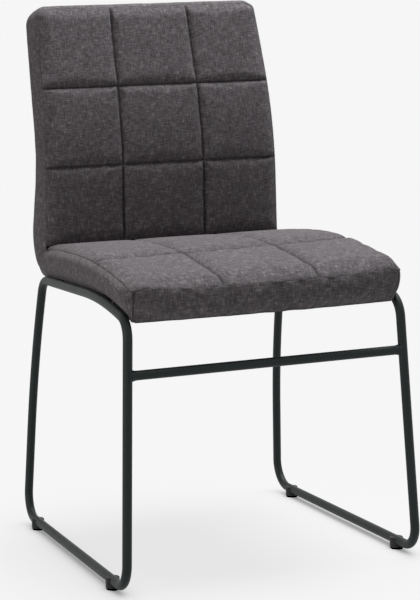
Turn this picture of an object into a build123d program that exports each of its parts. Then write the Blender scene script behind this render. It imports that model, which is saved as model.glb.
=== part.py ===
from build123d import *
import os
from math import asin, cos, degrees, radians, sin, tan

# Upholstered dining chair on a sled frame of bent steel tube, in millimetres.
# +Z is up, the sitter faces -Y, and the origin is on the floor under the middle of the chair.

# Driving dimensions of the tube frame
TUBE_D = 14.0
TUBE_WALL = 1.5
LEG_SPAN = 529.0
RUNNER_HALF = 232.6
SPLAY = 2.75
RAIL_Z = 422.0
FLOOR_BEND_R = 38.0
TOP_BEND_R = 32.0
REAR_LEAN = 9.4
REAR_BOW = 12.4
REAR_BOW_R = 1150.0
RAIL_DROP = 12.0
RAIL_DROP_R = 850.0
STRETCHER_DROP = 100.0
WELD_GAP = 0.2
WELD_LEG = 4.5
WELD_REACH = 6.0
WELD_SIDE = 0.8

# Driving dimensions of the cross bars and their bolts
BAR_WIDTH = 30.0
BAR_THICK = 4.0
BAR_CLEAR = 0.07
FRONT_BAR_AT = 100.0
BAR_PITCH = 235.0
BOLT_HALF_PITCH = 120.0
BOLT_D = 6.0
BOLT_HEAD_D = 11.0
BOLT_HEAD_H = 3.4
BOLT_CLEAR = 0.5
HEX_KEY = 4.0
HEX_DEPTH = 2.0
WASHER_D = 16.0
WASHER_T = 1.4
SPRING_WASHER_D = 10.6
SPRING_WASHER_T = 1.6
SPRING_WASHER_SLOT = 1.2
NUT_WALL = 1.0
NUT_FLANGE_D = 18.0
NUT_FLANGE_T = 1.3
NUT_FIT = 0.1
NUT_SHORT = 1.0

# Driving dimensions of the glides under the runners
GLIDE_WALL = 3.5
GLIDE_SOLE = 6.0
GLIDE_LIP = 5.0
GLIDE_ROUND = 3.0
GLIDE_BEVEL = 1.0
GLIDE_FIT = 0.15
FRONT_GLIDE_INSET = 28.0
REAR_GLIDE_INSET = 18.0

# Driving dimensions of the bent plywood shell, along its lower and rear face
PLY_THICK = 10.0
RAIL_CLEAR = 1.0
BEND_BEHIND = 1.75
PLY_FRONT_DROP = 12.6
PLY_BEND_R = 60.0
PLY_BEND = 110.0
PLY_LOW_RUN = 58.0
PLY_LUMBAR_R = 170.0
PLY_LUMBAR_TURN = 36.0
PLY_SIDE_GAP = 0.5
PLY_TOP_GAP = 6.0

# Driving dimensions of the sewn lines that the quilted covers follow
CREASE_REACH = 429.5
SEAT_RISE = 53.0
SEAT_FLAT = 155.0
SEAT_FALL_R = 1235.0
SEAT_OVERHANG = 15.5
SEAT_REAR_ROW = 278.0
BACK_LEAN_IN = 4.5
BACK_LOW_RUN = 90.0
BACK_ARC_R = 560.0
BACK_ARC_TURN = 19.0
BACK_HIGH_RUN = 116.5
BACK_ROW = 129.0
COLUMN_HALF = 72.0
SEAT_CROWN = 9.5
SEAT_SHOULDER = 7.5
SHOULDER_IN = 14.0
SEAT_PUFF = 2.5
BACK_PUFF = 9.0
COVER_EDGE = 4.0
SEWN_FIT = 0.15

# Driving dimensions of the padded body's outline and its thin layers
CREASE_HALF = 206.0
SEAT_FLARE = 5.0
BACK_NARROW = 15.0
CORNER_R = 15.0
FRONT_LOW_DROP = 26.0
FRONT_TUCK = 10.0
FRONT_SWELL = 5.0
BOXING_T = 3.0
REAR_PAD_T = 5.0
REAR_COVER_T = 1.6
UNDER_COVER_T = 1.0
UNDER_INSET = 9.0

# Heights and places that follow from the driving dimensions
TUBE_R = TUBE_D / 2
GLIDE_D = TUBE_D + 2 * GLIDE_WALL
RUNNER_Z = GLIDE_SOLE + TUBE_R
STRETCHER_Z = RAIL_Z - STRETCHER_DROP
HEEL_TANGENT = FLOOR_BEND_R * tan(radians(90 + REAR_LEAN) / 2)
HEEL_REACH = LEG_SPAN - HEEL_TANGENT + FLOOR_BEND_R + TUBE_R
FRONT_LEG_Y = (SEAT_OVERHANG - HEEL_REACH) / 2
RAIL_H = (RAIL_Z - RUNNER_Z) / cos(radians(SPLAY))


def walk(line, offset=0.0):
    """Runs of a tangent line moved offset to its left: two points for a straight, three for an arc."""
    (y, z), heading, moves = line
    runs = []
    for move in moves:
        side = (-sin(radians(heading)), cos(radians(heading)))
        begin = (y + offset * side[0], z + offset * side[1])
        if isinstance(move, tuple):
            radius, turn = move
            way = 1 if turn > 0 else -1
            hub = (y + way * radius * side[0], z + way * radius * side[1])
            arm = radius - way * offset
            spots = []
            for part in (turn / 2, turn):
                angle = radians(heading + part)
                spots.append((hub[0] + way * arm * sin(angle), hub[1] - way * arm * cos(angle)))
            runs.append((begin, *spots))
            heading += turn
            y = hub[0] + way * radius * sin(radians(heading))
            z = hub[1] - way * radius * cos(radians(heading))
        else:
            y += move * cos(radians(heading))
            z += move * sin(radians(heading))
            runs.append((begin, (y + offset * side[0], z + offset * side[1])))
    return runs


def cut_short(line, distance):
    """The first stretch of a tangent line, up to a distance along it."""
    start, heading, moves = line
    kept = []
    left = distance
    for move in moves:
        length = move[0] * radians(abs(move[1])) if isinstance(move, tuple) else move
        share = min(1.0, left / length)
        kept.append((move[0], move[1] * share) if isinstance(move, tuple) else move * share)
        left -= length
        if left <= 0:
            break
    return start, heading, kept


def length_of(line):
    """Length of a tangent line."""
    return sum(m[0] * radians(abs(m[1])) if isinstance(m, tuple) else m for m in line[2])


def along(line, distance, offset=0.0):
    """Point at a distance along a tangent line, moved offset to its left, and the heading there."""
    stretch = cut_short(line, distance)
    heading = stretch[1] + sum(m[1] for m in stretch[2] if isinstance(m, tuple))
    return walk(stretch, offset)[-1][-1], heading


def draw(runs):
    """Draw the runs of a tangent line in the sketch that is open."""
    for run in runs:
        if len(run) == 2:
            Line(*run)
        else:
            ThreePointArc(*run)


def save(builder, name):
    """Label a finished piece and write it to its own file."""
    builder.part.label = name
    export_step(builder.part, f"parts/{name}.step")


# The sled loop, drawn in its own leaning plane from the front of the runner and round the heel
HEEL_RISE = FLOOR_BEND_R * (1 + sin(radians(REAR_LEAN)))
LEAN_TOP = REAR_LEAN + REAR_BOW
BOW_RISE = REAR_BOW_R * (sin(radians(LEAN_TOP)) - sin(radians(REAR_LEAN)))
REAR_TOP_RISE = TOP_BEND_R * (1 - sin(radians(LEAN_TOP)))
REAR_RUN = (RAIL_H - HEEL_RISE - BOW_RISE - REAR_TOP_RISE) / cos(radians(REAR_LEAN))
HEEL_Y = FRONT_LEG_Y + LEG_SPAN - HEEL_TANGENT
REAR_CLIMB = [
    (FLOOR_BEND_R, 90 + REAR_LEAN),
    REAR_RUN,
    (REAR_BOW_R, REAR_BOW),
    (TOP_BEND_R, 90 - LEAN_TOP),
]
RAIL_REAR_Y = along(((HEEL_Y, 0), 0, REAR_CLIMB), length_of((0, 0, REAR_CLIMB)))[0][0]
FRONT_TOP_REACH = TOP_BEND_R * (1 - sin(radians(RAIL_DROP)))
DROP_Y = FRONT_LEG_Y + FRONT_TOP_REACH + RAIL_DROP_R * sin(radians(RAIL_DROP))
DROP_FALL = RAIL_DROP_R * (1 - cos(radians(RAIL_DROP)))
FRONT_RUN = RAIL_H - DROP_FALL - TOP_BEND_R * cos(radians(RAIL_DROP)) - FLOOR_BEND_R
RUNNER_RUN = HEEL_Y - FRONT_LEG_Y - FLOOR_BEND_R
LOOP = (
    (FRONT_LEG_Y + FLOOR_BEND_R, 0),
    0,
    [
        RUNNER_RUN,
        *REAR_CLIMB,
        RAIL_REAR_Y - DROP_Y,
        (RAIL_DROP_R, RAIL_DROP),
        (TOP_BEND_R, 90 - RAIL_DROP),
        FRONT_RUN,
        (FLOOR_BEND_R, 90),
    ],
)


def loop_plane(side):
    """Plane of one sled loop: local x runs rearwards, local y climbs the leaning side."""
    lean = radians(SPLAY)
    return Plane((side * RUNNER_HALF, 0, RUNNER_Z), (0, 1, 0), (cos(lean), 0, side * sin(lean)))


def loop_x(z):
    """Half distance between the two loops' centre lines at a height."""
    return RUNNER_HALF - (z - RUNNER_Z) * tan(radians(SPLAY))


def loop_tube(side, radius, bore=0.0):
    """Sweep a round section along one sled loop, in the part that is open."""
    plane = loop_plane(side)
    start = plane.from_local_coords((FRONT_LEG_Y + FLOOR_BEND_R, 0, 0))
    with BuildLine(plane) as path:
        draw(walk(LOOP))
    with BuildSketch(Plane(start, x_dir=plane.z_dir, z_dir=(0, 1, 0))) as section:
        Circle(radius)
        if bore:
            Circle(bore, mode=Mode.SUBTRACT)
    sweep(section.sketch, path=path.wire())


def glide(side, y):
    """Moulded cup foot that clips round the runner from below."""
    x = side * RUNNER_HALF
    with BuildPart() as foot:
        with BuildSketch(Plane.XY):
            with Locations((x, y)):
                Circle(GLIDE_D / 2)
        extrude(amount=RUNNER_Z + GLIDE_LIP)
        fillet(foot.edges().group_by(Axis.Z)[0], GLIDE_ROUND)
        chamfer(foot.edges().group_by(Axis.Z)[-1], GLIDE_BEVEL)
        with BuildSketch(Plane.XZ.offset(-y)):
            with Locations((x, RUNNER_Z)):
                Circle(TUBE_R + GLIDE_FIT)
        extrude(amount=GLIDE_D, both=True, mode=Mode.SUBTRACT)
    return foot


# The shell's lower and rear face, from its front edge to the top of the back
CREASE = (FRONT_LEG_Y + CREASE_REACH, RAIL_Z + SEAT_RISE)
PLY_LIFT = TUBE_R + RAIL_CLEAR
PLY_DROP_R = RAIL_DROP_R + PLY_LIFT
PLY_Z = RAIL_Z + PLY_LIFT
PLY_HEEL = (CREASE[0] + BEND_BEHIND, PLY_Z)
PLY_FRONT = (
    DROP_Y - PLY_DROP_R * sin(radians(PLY_FRONT_DROP)),
    PLY_Z - PLY_DROP_R * (1 - cos(radians(PLY_FRONT_DROP))),
)
PLY_SEAT = (PLY_FRONT, PLY_FRONT_DROP, [(PLY_DROP_R, -PLY_FRONT_DROP), PLY_HEEL[0] - DROP_Y])
HALF_BEND = (PLY_BEND_R, PLY_BEND / 2)
PLY_WAIST = along((PLY_HEEL, 0, [HALF_BEND]), PLY_BEND_R * radians(PLY_BEND / 2))[0]
PLY_RISE = [PLY_LOW_RUN, (PLY_LUMBAR_R, -PLY_LUMBAR_TURN)]

# The sewn lines: the seat from its front edge to the crease, the back from the crease to its top
SEAT_FALL = degrees(asin((CREASE_REACH - SEAT_FLAT + SEAT_OVERHANG) / SEAT_FALL_R))
SEAT_FRONT = (FRONT_LEG_Y - SEAT_OVERHANG, CREASE[1] - SEAT_FALL_R * (1 - cos(radians(SEAT_FALL))))
SEAT_LINE = (SEAT_FRONT, SEAT_FALL, [(SEAT_FALL_R, -SEAT_FALL), SEAT_FLAT])
BACK_RUNS = [BACK_LOW_RUN, (BACK_ARC_R, -BACK_ARC_TURN), BACK_HIGH_RUN]
BACK_LINE = (CREASE, 90 + BACK_LEAN_IN, BACK_RUNS)
BACK_TOP, TOP_HEADING = along(BACK_LINE, length_of(BACK_LINE))
MITRE = (1 + sin(radians(BACK_LEAN_IN))) / cos(radians(BACK_LEAN_IN))
PAD_DEPTH = COVER_EDGE + SEWN_FIT
PAD_CREASE = (CREASE[0] + PAD_DEPTH * MITRE, CREASE[1] - PAD_DEPTH)
FRONT_LOW = (SEAT_FRONT[0] + FRONT_TUCK, RAIL_Z - FRONT_LOW_DROP)
FRONT_LOW_IN = (FRONT_LOW[0] + BOXING_T, FRONT_LOW[1])
SEAT_PAD_FULL = walk(SEAT_LINE, -PAD_DEPTH)
SEAT_PAD_FRONT = along(SEAT_LINE, BOXING_T, -PAD_DEPTH)[0]
SEAT_PAD = [(SEAT_PAD_FRONT, *SEAT_PAD_FULL[0][1:]), *SEAT_PAD_FULL[1:]]
BACK_PAD = walk(BACK_LINE, -PAD_DEPTH)
SEAT_TAPER = SEAT_FLARE / (CREASE[0] - SEAT_FRONT[0])
BACK_TAPER = BACK_NARROW / (BACK_TOP[1] - CREASE[1])
REACH = CREASE_HALF + RUNNER_HALF
TOUCHING = 1e-6


def shell_rise(inset):
    """The shell's runs above its bend, up to a plane that lies inset below the top of the back."""
    lower = (PLY_WAIST, PLY_BEND / 2, [HALF_BEND, *PLY_RISE])
    lumbar_end, heading = along(lower, length_of(lower))
    up = (cos(radians(TOP_HEADING)), sin(radians(TOP_HEADING)))
    gap = (BACK_TOP[0] - lumbar_end[0]) * up[0] + (BACK_TOP[1] - lumbar_end[1]) * up[1] - inset
    return [*PLY_RISE, gap / cos(radians(TOP_HEADING - heading))]


def top_plane(inset):
    """Plane across the top of the back, inset below it, with its normal up the back."""
    up = (0, cos(radians(TOP_HEADING)), sin(radians(TOP_HEADING)))
    return Plane((0, *BACK_TOP), x_dir=(1, 0, 0), z_dir=up).offset(-inset)


def trim_sides(inset):
    """Cut the open part at the body's side faces, which flare to the seat's front and narrow up the back."""
    far = 2 * REACH
    ahead = CREASE[0] - far
    behind = CREASE[0] + far
    above = CREASE[1] + far
    for side in (-1, 1):
        wall = side * (CREASE_HALF - inset)
        beyond = side * far
        with BuildSketch() as beside_seat:
            with BuildLine():
                inner = [(wall, behind), (wall, CREASE[0]), (wall + beyond * SEAT_TAPER, ahead)]
                Polyline(*inner, (beyond, ahead), (beyond, behind), close=True)
            make_face()
        extrude(beside_seat.sketch, amount=CREASE[1], mode=Mode.SUBTRACT)
        with BuildSketch(Plane.XZ) as beside_back:
            with BuildLine():
                narrowed = (wall - beyond * BACK_TAPER, above)
                Polyline((wall, CREASE[1]), narrowed, (beyond, above), (beyond, CREASE[1]), close=True)
            make_face()
        extrude(beside_back.sketch, amount=far, both=True, mode=Mode.SUBTRACT)


def round_corners(inset):
    """Round the two top corners of the open part."""
    radius = CORNER_R - inset
    back_face = top_plane(inset)
    back_face = Plane(back_face.origin, x_dir=(1, 0, 0), z_dir=-back_face.y_dir)
    half = CREASE_HALF - BACK_NARROW - inset
    with BuildSketch(back_face) as corners:
        for side in (-1, 1):
            with Locations((side * half, 0)):
                Rectangle(2 * radius, 2 * radius)
            with Locations((side * (half - radius), -radius)):
                Circle(radius, mode=Mode.SUBTRACT)
    extrude(corners.sketch, amount=REACH, both=True, mode=Mode.SUBTRACT)


def profile(*lines):
    """Face in the side view from stretches of runs, each joined to the next by a straight edge."""
    with BuildSketch(Plane.YZ) as side_view:
        with BuildLine():
            for index, runs in enumerate(lines):
                draw(runs)
                begin = runs[-1][-1]
                end = lines[(index + 1) % len(lines)][0][0]
                if (Vector(*begin) - Vector(*end)).length > TOUCHING:
                    Line(begin, end)
        make_face()
    return side_view.sketch


def backwards(runs):
    """The same runs, travelled the other way."""
    return [run[::-1] for run in reversed(runs)]


os.makedirs("parts", exist_ok=True)

# Two closed loops of tube, each a runner, two legs and a seat rail
with BuildPart() as left_side_frame:
    loop_tube(-1, TUBE_R, TUBE_R - TUBE_WALL)
save(left_side_frame, "left_side_frame")

with BuildPart() as right_side_frame:
    loop_tube(1, TUBE_R, TUBE_R - TUBE_WALL)
save(right_side_frame, "right_side_frame")

# Cup feet under both ends of the runners
FRONT_GLIDE_Y = FRONT_LEG_Y + FLOOR_BEND_R + FRONT_GLIDE_INSET
REAR_GLIDE_Y = HEEL_Y - REAR_GLIDE_INSET
for end, glide_y in (("front", FRONT_GLIDE_Y), ("rear", REAR_GLIDE_Y)):
    for hand, side in (("left", -1), ("right", 1)):
        save(glide(side, glide_y), f"{end}_{hand}_glide")

# The space that both loops take up, with the gap that the welds bridge
with BuildPart() as rods:
    loop_tube(-1, TUBE_R + WELD_GAP)
    loop_tube(1, TUBE_R + WELD_GAP)

# The stretcher between the front legs, its ends shaped to the legs
with BuildPart() as front_stretcher:
    with BuildSketch(Plane.YZ):
        with Locations((FRONT_LEG_Y, STRETCHER_Z)):
            Circle(TUBE_R)
            Circle(TUBE_R - TUBE_WALL, mode=Mode.SUBTRACT)
    extrude(amount=loop_x(STRETCHER_Z), both=True)
    add(rods.part, mode=Mode.SUBTRACT)
save(front_stretcher, "front_stretcher")

# The flat bars lie under the shell's cloth, clear of its curve by a hair
BAR_FIT = BAR_CLEAR + BAR_WIDTH**2 / (8 * PLY_DROP_R)
PLY_BOTTOM = UNDER_COVER_T + BAR_FIT
PLY_TOP = PLY_BOTTOM + PLY_THICK
BAR_SPOTS = [along(PLY_SEAT, at, -PLY_BOTTOM) for at in (FRONT_BAR_AT, FRONT_BAR_AT + BAR_PITCH)]
HOLE_R = (BOLT_D + BOLT_CLEAR) / 2
NUT_BARREL_R = BOLT_D / 2 + NUT_WALL


def bar_plane(spot, height=0.0):
    """Plane on a cross bar's top face, or a height above it, square to the shell there."""
    (y, z), heading = spot
    up = (0, -sin(radians(heading)), cos(radians(heading)))
    return Plane((0, y, z), x_dir=(1, 0, 0), z_dir=up).offset(height)


def at_bolts(radius, low, high, mode):
    """Round posts or holes at the four bolts, between two heights above the bars' top faces."""
    for spot in BAR_SPOTS:
        with BuildSketch(bar_plane(spot, low)) as rounds:
            with Locations((-BOLT_HALF_PITCH, 0), (BOLT_HALF_PITCH, 0)):
                Circle(radius)
        extrude(rounds.sketch, amount=high - low, mode=mode)


# The plywood, one panel bent into seat and back
with BuildPart() as plywood_shell:
    shell_runs = [*PLY_SEAT[2], (PLY_BEND_R, PLY_BEND), *shell_rise(BOXING_T + PLY_TOP_GAP)]
    shell_line = (PLY_FRONT, PLY_FRONT_DROP, shell_runs)
    extrude(profile(walk(shell_line), backwards(walk(shell_line, PLY_THICK))), amount=REACH, both=True)
    trim_sides(BOXING_T + PLY_SIDE_GAP)
    round_corners(BOXING_T + PLY_SIDE_GAP)
    at_bolts(NUT_BARREL_R + NUT_FIT, 0, PLY_TOP + NUT_FLANGE_T, Mode.SUBTRACT)
save(plywood_shell, "plywood_shell")

# Foam on the shell: the seat's wraps its front edge, the back's wraps its top edge
PLY_TO_WAIST = (PLY_FRONT, PLY_FRONT_DROP, [*PLY_SEAT[2], HALF_BEND])
WAIST_IN = walk(PLY_TO_WAIST, PLY_THICK)[-1][-1]
with BuildPart() as seat_foam:
    seat_block = profile(
        SEAT_PAD,
        [(PAD_CREASE, WAIST_IN)],
        backwards(walk(PLY_TO_WAIST, PLY_THICK)),
        [(PLY_FRONT, FRONT_LOW_IN)],
    )
    extrude(seat_block, amount=REACH, both=True)
    trim_sides(BOXING_T)
    nut_space = NUT_FLANGE_T + NUT_FIT
    at_bolts(NUT_FLANGE_D / 2 + NUT_FIT, PLY_TOP - nut_space, PLY_TOP + nut_space, Mode.SUBTRACT)
save(seat_foam, "seat_foam")

BACK_PAD_LOW = walk(cut_short(BACK_LINE, length_of(BACK_LINE) - BOXING_T), -PAD_DEPTH)
PLY_FROM_WAIST = (PLY_WAIST, PLY_BEND / 2, [HALF_BEND, *shell_rise(BOXING_T + PLY_TOP_GAP)])
PAD_TOP_REAR = walk((PLY_WAIST, PLY_BEND / 2, [HALF_BEND, *shell_rise(BOXING_T)]))[-1][-1]
with BuildPart() as back_foam:
    back_block = profile(
        [(PAD_CREASE, BACK_PAD_LOW[0][0])],
        BACK_PAD_LOW,
        [(PAD_TOP_REAR, walk(PLY_FROM_WAIST)[-1][-1])],
        backwards(walk(PLY_FROM_WAIST, PLY_THICK)),
    )
    extrude(back_block, amount=REACH, both=True)
    trim_sides(BOXING_T)
    round_corners(BOXING_T)
save(back_foam, "back_foam")


# Thin padding and cloth behind the back, from under the bend to the top
def shell_back(inset):
    """The shell's rear face from under its bend up to a plane that lies inset below the top."""
    return PLY_HEEL, 0, [(PLY_BEND_R, PLY_BEND), *shell_rise(inset)]


def rear_layer(inner, outer, inset):
    """Build the open part's layer behind the shell, between two distances from it."""
    past_top = shell_back(-CORNER_R)
    face = profile(walk(past_top, -inner), backwards(walk(past_top, -outer)))
    extrude(face, amount=REACH, both=True)
    split(bisect_by=top_plane(inset), keep=Keep.BOTTOM)
    trim_sides(inset)
    round_corners(inset)


with BuildPart() as rear_padding:
    rear_layer(0, REAR_PAD_T, BOXING_T)
save(rear_padding, "rear_padding")

with BuildPart() as rear_cover:
    rear_layer(REAR_PAD_T, REAR_PAD_T + REAR_COVER_T, 0)
save(rear_cover, "rear_cover")

with BuildPart() as underside_cover:
    extrude(profile(walk(PLY_SEAT), backwards(walk(PLY_SEAT, -UNDER_COVER_T))), amount=REACH, both=True)
    trim_sides(UNDER_INSET)
    at_bolts(HOLE_R, -UNDER_COVER_T, PLY_BOTTOM + UNDER_COVER_T, Mode.SUBTRACT)
save(underside_cover, "underside_cover")

# The boxing: one strip up a side, over the top and down the other, and one across the seat's front
BODY = profile(
    SEAT_PAD,
    [(PAD_CREASE, BACK_PAD[0][0])],
    BACK_PAD,
    backwards(walk(shell_back(0), -REAR_PAD_T)),
    backwards(walk(PLY_SEAT)),
    [(FRONT_LOW_IN, SEAT_PAD_FRONT)],
)


def body_block(inset):
    """Fill the open part with the padded body, inset from its sides and its top."""
    extrude(BODY, amount=REACH, both=True)
    split(bisect_by=top_plane(inset), keep=Keep.BOTTOM)
    trim_sides(inset)
    round_corners(inset)


with BuildPart() as body_filling:
    body_block(BOXING_T)
with BuildPart() as side_boxing:
    body_block(0)
    add(body_filling.part, mode=Mode.SUBTRACT)
save(side_boxing, "side_boxing")

with BuildPart() as front_boxing:
    top_edge = SEAT_PAD_FULL[0][0]
    middle = ((top_edge[0] + FRONT_LOW[0]) / 2 - FRONT_SWELL, (top_edge[1] + FRONT_LOW[1]) / 2)
    swell = profile([(FRONT_LOW, middle, top_edge)], [(SEAT_PAD_FRONT, FRONT_LOW_IN)])
    extrude(swell, amount=REACH, both=True)
    trim_sides(0)
save(front_boxing, "front_boxing")


def seat_station(share):
    """Upright plane along the seat at a share of its half width, following its taper."""
    way = Vector(-share * SEAT_TAPER, 1, 0).normalized()
    crease = Vector(share * CREASE_HALF, CREASE[0], 0)
    return Plane(crease - way * CREASE[0], x_dir=way, z_dir=way.cross(Vector(0, 0, 1)))


def back_station(share):
    """Plane up the back at a share of its half width, following its taper."""
    way = Vector(-share * BACK_TAPER, 0, 1).normalized()
    crease = Vector(share * CREASE_HALF, 0, CREASE[1])
    return Plane(crease - way * CREASE[1], x_dir=(0, 1, 0), z_dir=Vector(0, 1, 0).cross(way))


def pillows(line, seams, rise, puff):
    """Outer runs of a quilted cover: an arc over each pillow, between row seams raised above its ends."""
    ends = (seams[0], seams[-1])
    arcs = []
    for low, high in zip(seams, seams[1:]):
        begin = along(line, low, 0.0 if low in ends else rise)[0]
        middle = along(line, (low + high) / 2, rise + puff)[0]
        arcs.append((begin, middle, along(line, high, 0.0 if high in ends else rise)[0]))
    return arcs


COLUMN_SHARE = COLUMN_HALF / CREASE_HALF
MIDDLE_SHARE = (1 + COLUMN_SHARE) / 2
SHOULDER_SHARE = 1 - SHOULDER_IN / CREASE_HALF


def quilt(station, under, line, seams, rise, puff, shoulder):
    """Loft the open part's quilted cover, a column of pillows at a time, from its edge over the shoulder."""
    right = [(1, 0.0, 0.0), *shoulder, (MIDDLE_SHARE, rise, puff), (COLUMN_SHARE, rise, 0.0)]
    left = [(-share, *heights) for share, *heights in right]
    for column in (left, [left[-1], (0, rise, puff), right[-1]], right):
        sections = []
        for share, *heights in column:
            with BuildSketch(station(share)) as section:
                with BuildLine():
                    outer = pillows(line, seams, *heights)
                    draw(under)
                    draw(outer)
                    Line(under[0][0], outer[0][0])
                    Line(under[-1][-1], outer[-1][-1])
                make_face()
            sections.append(section.sketch)
        loft(sections)


SEAT_LENGTH = length_of(SEAT_LINE)
BACK_LENGTH = length_of(BACK_LINE)
COVER_CREASE = (CREASE[0] + COVER_EDGE * MITRE, CREASE[1] - COVER_EDGE)
with BuildPart() as seat_cover:
    seat_base = walk(SEAT_LINE, -COVER_EDGE)
    seat_base.append((seat_base[-1][-1], COVER_CREASE))
    seat_seams = (0, SEAT_LENGTH - SEAT_REAR_ROW, SEAT_LENGTH)
    seat_shoulder = [(SHOULDER_SHARE, SEAT_SHOULDER, 0.0)]
    quilt(seat_station, seat_base, SEAT_LINE, seat_seams, SEAT_CROWN, SEAT_PUFF, seat_shoulder)
save(seat_cover, "seat_cover")

with BuildPart() as back_cover:
    back_base = walk(BACK_LINE, -COVER_EDGE)
    back_base.insert(0, (COVER_CREASE, back_base[0][0]))
    back_seams = (0, BACK_ROW, 2 * BACK_ROW, BACK_LENGTH)
    quilt(back_station, back_base, BACK_LINE, back_seams, 0.0, BACK_PUFF, [])
    round_corners(0)
save(back_cover, "back_cover")


# Flat bars across the rails carry the shell, each held to it by two bolts from below
def cross_bar(spot):
    """One flat bar, its ends shaped to the rails' inner shoulders."""
    with BuildPart() as bar:
        with BuildSketch(bar_plane(spot)):
            Rectangle(2 * loop_x(RAIL_Z), BAR_WIDTH)
            with Locations((-BOLT_HALF_PITCH, 0), (BOLT_HALF_PITCH, 0)):
                Circle(HOLE_R, mode=Mode.SUBTRACT)
        extrude(amount=-BAR_THICK)
        add(rods.part, mode=Mode.SUBTRACT)
    return bar


front_cross_bar = cross_bar(BAR_SPOTS[0])
rear_cross_bar = cross_bar(BAR_SPOTS[1])
save(front_cross_bar, "front_cross_bar")
save(rear_cross_bar, "rear_cross_bar")

# Weld beads: a flare round each end of the stretcher and a fillet under each end of the bars
STRETCHER_TOP = STRETCHER_Z + TUBE_R
with BuildPart() as weld_beads:
    for side in (-1, 1):
        leg_x = side * loop_x(STRETCHER_Z)
        throat = side * (TUBE_R + WELD_REACH)
        with BuildSketch(Plane.XZ.offset(-FRONT_LEG_Y)):
            with BuildLine():
                inner = (leg_x - throat, STRETCHER_TOP)
                outer = (leg_x, STRETCHER_TOP + WELD_LEG)
                ThreePointArc(inner, (leg_x - throat / 2, STRETCHER_TOP + WELD_LEG / 3), outer)
                Polyline(outer, (leg_x, STRETCHER_TOP), inner)
            make_face()
        revolve(axis=Axis((0, FRONT_LEG_Y, STRETCHER_Z), (1, 0, 0)))
    with Locations((0, FRONT_LEG_Y, STRETCHER_Z)):
        Box(2 * REACH, 2 * (TUBE_R + WELD_SIDE), 2 * REACH, mode=Mode.INTERSECT)
    for spot in BAR_SPOTS:
        for side in (-1, 1):
            with BuildSketch(Plane(bar_plane(spot).origin, x_dir=(1, 0, 0), z_dir=-bar_plane(spot).y_dir)):
                with BuildLine():
                    rail_x = side * loop_x(RAIL_Z)
                    toe = (rail_x - side * (TUBE_R + WELD_LEG), -BAR_THICK)
                    low = (rail_x - side * TUBE_R, -BAR_THICK - WELD_LEG)
                    Polyline(toe, (rail_x, -BAR_THICK), low, close=True)
                make_face()
            extrude(amount=BAR_WIDTH / 2 - WELD_SIDE, both=True)
    add(rods.part, mode=Mode.SUBTRACT)
save(weld_beads, "weld_beads")

# Bolts, washers and tee nuts, each kind in one group
WASHER_Z = -BAR_THICK - WASHER_T
SPRING_Z = WASHER_Z - SPRING_WASHER_T
HEAD_Z = SPRING_Z - BOLT_HEAD_H
with BuildPart() as washers:
    at_bolts(WASHER_D / 2, WASHER_Z, -BAR_THICK, Mode.ADD)
    at_bolts(HOLE_R, HEAD_Z, 0, Mode.SUBTRACT)
save(washers, "washers")

with BuildPart() as spring_washers:
    at_bolts(SPRING_WASHER_D / 2, SPRING_Z, WASHER_Z, Mode.ADD)
    at_bolts(HOLE_R, HEAD_Z, 0, Mode.SUBTRACT)
    for spot in BAR_SPOTS:
        with BuildSketch(bar_plane(spot, SPRING_Z)):
            for x in (-BOLT_HALF_PITCH, BOLT_HALF_PITCH):
                with Locations((x + SPRING_WASHER_D / 2, 0)):
                    Rectangle(SPRING_WASHER_D, SPRING_WASHER_SLOT)
        extrude(amount=SPRING_WASHER_T, mode=Mode.SUBTRACT)
save(spring_washers, "spring_washers")

with BuildPart() as seat_bolts:
    at_bolts(BOLT_HEAD_D / 2, HEAD_Z, SPRING_Z, Mode.ADD)
    at_bolts(BOLT_D / 2, SPRING_Z, PLY_TOP, Mode.ADD)
    for spot in BAR_SPOTS:
        with BuildSketch(bar_plane(spot, HEAD_Z)):
            with Locations((-BOLT_HALF_PITCH, 0), (BOLT_HALF_PITCH, 0)):
                RegularPolygon(HEX_KEY / 2, 6, major_radius=False)
        extrude(amount=HEX_DEPTH, mode=Mode.SUBTRACT)
save(seat_bolts, "seat_bolts")

with BuildPart() as tee_nuts:
    at_bolts(NUT_BARREL_R, PLY_BOTTOM + NUT_SHORT, PLY_TOP, Mode.ADD)
    at_bolts(NUT_FLANGE_D / 2, PLY_TOP, PLY_TOP + NUT_FLANGE_T, Mode.ADD)
    at_bolts(BOLT_D / 2 + NUT_FIT, PLY_BOTTOM, PLY_TOP + NUT_FLANGE_T, Mode.SUBTRACT)
save(tee_nuts, "tee_nuts")
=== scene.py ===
# %% [markdown]
# The dining chair, dressed for its picture.
# The steel frame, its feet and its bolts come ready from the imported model, so they only need a finish.
# The quilted covers are sewn here, panel by panel, because cloth over foam is a shape of its own.

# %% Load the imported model
import math
from collections import namedtuple

import bpy
from mathutils import Matrix, Vector, noise


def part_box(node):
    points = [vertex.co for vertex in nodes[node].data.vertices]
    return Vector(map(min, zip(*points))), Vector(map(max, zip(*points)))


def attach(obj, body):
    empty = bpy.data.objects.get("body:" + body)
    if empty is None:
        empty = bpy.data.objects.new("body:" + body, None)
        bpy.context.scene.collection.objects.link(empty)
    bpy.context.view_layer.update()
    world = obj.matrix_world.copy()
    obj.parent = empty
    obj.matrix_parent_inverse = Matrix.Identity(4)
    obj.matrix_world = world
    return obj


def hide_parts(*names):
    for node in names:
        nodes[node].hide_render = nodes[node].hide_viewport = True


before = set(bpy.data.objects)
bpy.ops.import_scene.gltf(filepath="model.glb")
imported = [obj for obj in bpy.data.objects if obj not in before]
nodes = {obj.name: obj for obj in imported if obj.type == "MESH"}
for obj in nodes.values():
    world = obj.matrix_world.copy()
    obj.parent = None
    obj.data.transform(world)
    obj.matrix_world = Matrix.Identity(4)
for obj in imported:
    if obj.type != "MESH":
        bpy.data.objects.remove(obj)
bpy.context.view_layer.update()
MM = 0.001
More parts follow.
